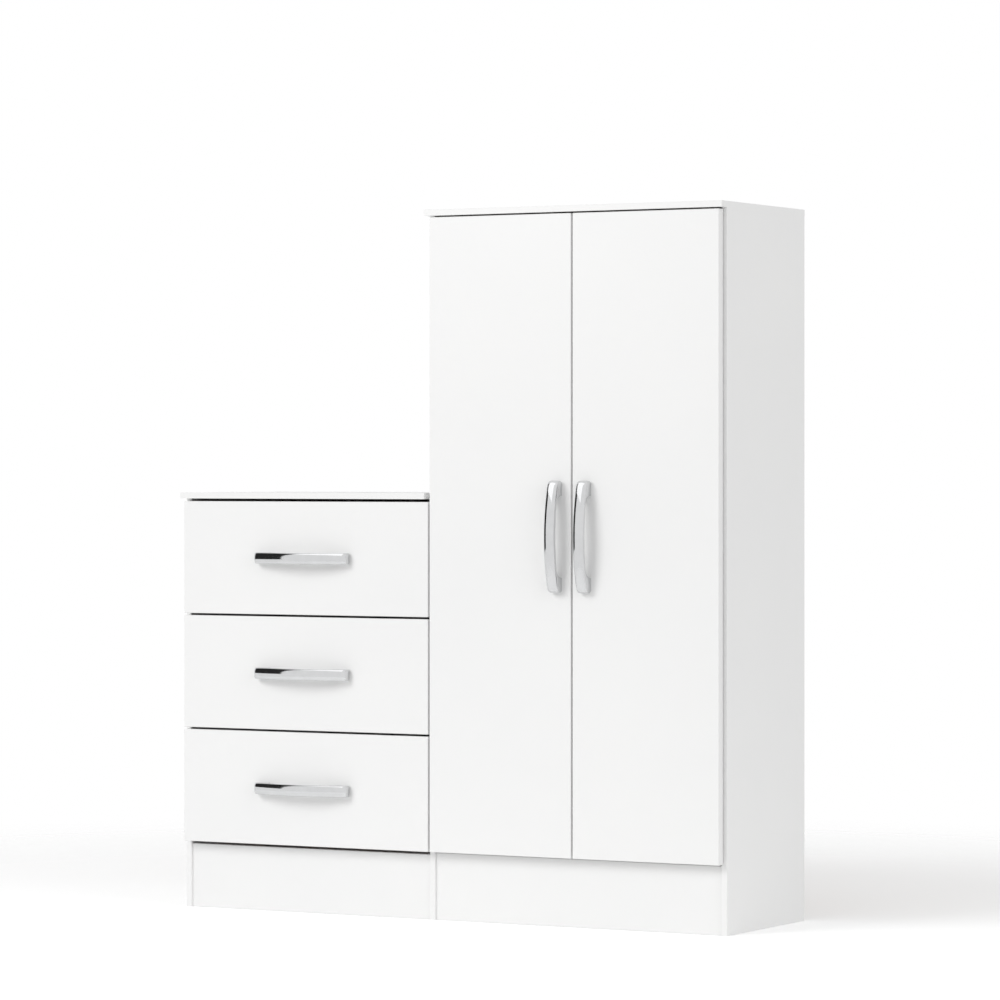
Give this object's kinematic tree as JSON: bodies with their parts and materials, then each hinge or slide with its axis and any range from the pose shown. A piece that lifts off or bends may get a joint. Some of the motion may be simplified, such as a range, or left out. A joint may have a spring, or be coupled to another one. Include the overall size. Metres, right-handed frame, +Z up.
{
  "type": "chest of drawers with cabinet",
  "caption": "White laminated storage unit with a low drawer chest beside a taller cabinet with hinged doors, chrome bow handles.",
  "frame": {"origin": "on the floor under the middle of the outer box, handles included", "axes": "+Z up, -Y out of the drawer and door fronts, +X to the right as seen from the front"},
  "size_m": [1, 0.33, 1.142],
  "materials": {
    "white_laminate": "satin white laminate on particle board",
    "white_hardboard": "thin white-faced hardboard",
    "chrome_handle": "polished chrome plate",
    "zinc_steel": "bright zinc plate",
    "white_coated_steel": "white epoxy coat on sheet steel",
    "white_nylon": "moulded white nylon",
    "beech_dowel": "plain beech",
    "clear_peg": "moulded pale plastic"
  },
  "bodies": {
    "carcass": {"left_side_panel": "white_laminate", "centre_partition": "white_laminate", "right_side_panel": "white_laminate", "chest_top": "white_laminate", "cabinet_top": "white_laminate", "chest_floor": "white_laminate", "cabinet_floor": "white_laminate", "chest_plinth": "white_laminate", "cabinet_plinth": "white_laminate", "lower_shelf": "white_laminate", "upper_shelf": "white_laminate", "chest_back": "white_hardboard", "cabinet_back": "white_hardboard", "shelf_pegs": "clear_peg", "dowels": "beech_dowel", "cam_fittings": "zinc_steel", "cabinet_runners": "white_coated_steel", "left_door_hinge_arms": "zinc_steel", "right_door_hinge_arms": "zinc_steel"},
    "drawer_1": {"drawer_1_front": "white_laminate", "drawer_1_left_side": "white_laminate", "drawer_1_right_side": "white_laminate", "drawer_1_back": "white_laminate", "drawer_1_bottom": "white_hardboard", "drawer_1_handle": "chrome_handle", "drawer_1_handle_screws": "zinc_steel", "drawer_1_rails": "white_coated_steel"},
    "drawer_1_front_rollers": {"drawer_1_front_rollers": "white_nylon"},
    "drawer_1_rear_rollers": {"drawer_1_rear_rollers": "white_nylon"},
    "drawer_2": {"drawer_2_front": "white_laminate", "drawer_2_left_side": "white_laminate", "drawer_2_right_side": "white_laminate", "drawer_2_back": "white_laminate", "drawer_2_bottom": "white_hardboard", "drawer_2_handle": "chrome_handle", "drawer_2_handle_screws": "zinc_steel", "drawer_2_rails": "white_coated_steel"},
    "drawer_2_front_rollers": {"drawer_2_front_rollers": "white_nylon"},
    "drawer_2_rear_rollers": {"drawer_2_rear_rollers": "white_nylon"},
    "drawer_3": {"drawer_3_front": "white_laminate", "drawer_3_left_side": "white_laminate", "drawer_3_right_side": "white_laminate", "drawer_3_back": "white_laminate", "drawer_3_bottom": "white_hardboard", "drawer_3_handle": "chrome_handle", "drawer_3_handle_screws": "zinc_steel", "drawer_3_rails": "white_coated_steel"},
    "drawer_3_front_rollers": {"drawer_3_front_rollers": "white_nylon"},
    "drawer_3_rear_rollers": {"drawer_3_rear_rollers": "white_nylon"},
    "left_door_links": {"left_door_hinge_links": "zinc_steel"},
    "left_door": {"left_door_panel": "white_laminate", "left_door_handle": "chrome_handle", "left_door_handle_screws": "zinc_steel", "left_door_hinge_cups": "zinc_steel"},
    "right_door_links": {"right_door_hinge_links": "zinc_steel"},
    "right_door": {"right_door_panel": "white_laminate", "right_door_handle": "chrome_handle", "right_door_handle_screws": "zinc_steel", "right_door_hinge_cups": "zinc_steel"}
  },
  "joints": [
    {"name": "drawer_1_slide", "type": "slide", "parent": "carcass", "child": "drawer_1", "axis": [0, -1, 0], "range_m": [0, 0.19]},
    {"name": "drawer_1_front_roller_spin", "type": "hinge", "parent": "carcass", "child": "drawer_1_front_rollers", "pos_m": [-0.26175, -0.104, 0.519], "axis": [1, 0, 0], "range_deg": [0, 1230]},
    {"name": "drawer_1_rear_roller_spin", "type": "hinge", "parent": "drawer_1", "child": "drawer_1_rear_rollers", "pos_m": [-0.26175, 0.118, 0.5187], "axis": [1, 0, 0], "range_deg": [0, 1230]},
    {"name": "drawer_2_slide", "type": "slide", "parent": "carcass", "child": "drawer_2", "axis": [0, -1, 0], "range_m": [0, 0.19]},
    {"name": "drawer_2_front_roller_spin", "type": "hinge", "parent": "carcass", "child": "drawer_2_front_rollers", "pos_m": [-0.26175, -0.104, 0.3305], "axis": [1, 0, 0], "range_deg": [0, 1230]},
    {"name": "drawer_2_rear_roller_spin", "type": "hinge", "parent": "drawer_2", "child": "drawer_2_rear_rollers", "pos_m": [-0.26175, 0.118, 0.3302], "axis": [1, 0, 0], "range_deg": [0, 1230]},
    {"name": "drawer_3_slide", "type": "slide", "parent": "carcass", "child": "drawer_3", "axis": [0, -1, 0], "range_m": [0, 0.19]},
    {"name": "drawer_3_front_roller_spin", "type": "hinge", "parent": "carcass", "child": "drawer_3_front_rollers", "pos_m": [-0.26175, -0.104, 0.142], "axis": [1, 0, 0], "range_deg": [0, 1230]},
    {"name": "drawer_3_rear_roller_spin", "type": "hinge", "parent": "drawer_3", "child": "drawer_3_rear_rollers", "pos_m": [-0.26175, 0.118, 0.1417], "axis": [1, 0, 0], "range_deg": [0, 1230]},
    {"name": "left_door_link_swing", "type": "hinge", "parent": "carcass", "child": "left_door_links", "pos_m": [0.0055, -0.117, 0.62], "axis": [0, 0, 1], "range_deg": [0, 28.8]},
    {"name": "left_door_hinge", "type": "hinge", "parent": "left_door_links", "child": "left_door", "pos_m": [-0.015, -0.126, 0.62], "axis": [0, 0, -1], "range_deg": [0, 118.8]},
    {"name": "right_door_link_swing", "type": "hinge", "parent": "carcass", "child": "right_door_links", "pos_m": [0.464, -0.117, 0.62], "axis": [0, 0, -1], "range_deg": [0, 28.8]},
    {"name": "right_door_hinge", "type": "hinge", "parent": "right_door_links", "child": "right_door", "pos_m": [0.4845, -0.126, 0.62], "axis": [0, 0, 1], "range_deg": [0, 118.8]}
  ],
  "couplings": [
    {"joint": "drawer_1_front_roller_spin", "follows": "drawer_1_slide", "rad_per_m": 111.11},
    {"joint": "drawer_1_rear_roller_spin", "follows": "drawer_1_slide", "rad_per_m": 111.11},
    {"joint": "drawer_2_front_roller_spin", "follows": "drawer_2_slide", "rad_per_m": 111.11},
    {"joint": "drawer_2_rear_roller_spin", "follows": "drawer_2_slide", "rad_per_m": 111.11},
    {"joint": "drawer_3_front_roller_spin", "follows": "drawer_3_slide", "rad_per_m": 111.11},
    {"joint": "drawer_3_rear_roller_spin", "follows": "drawer_3_slide", "rad_per_m": 111.11},
    {"joint": "left_door_link_swing", "follows": "left_door_hinge", "ratio": 0.24242},
    {"joint": "right_door_link_swing", "follows": "right_door_hinge", "ratio": 0.24242}
  ]
}
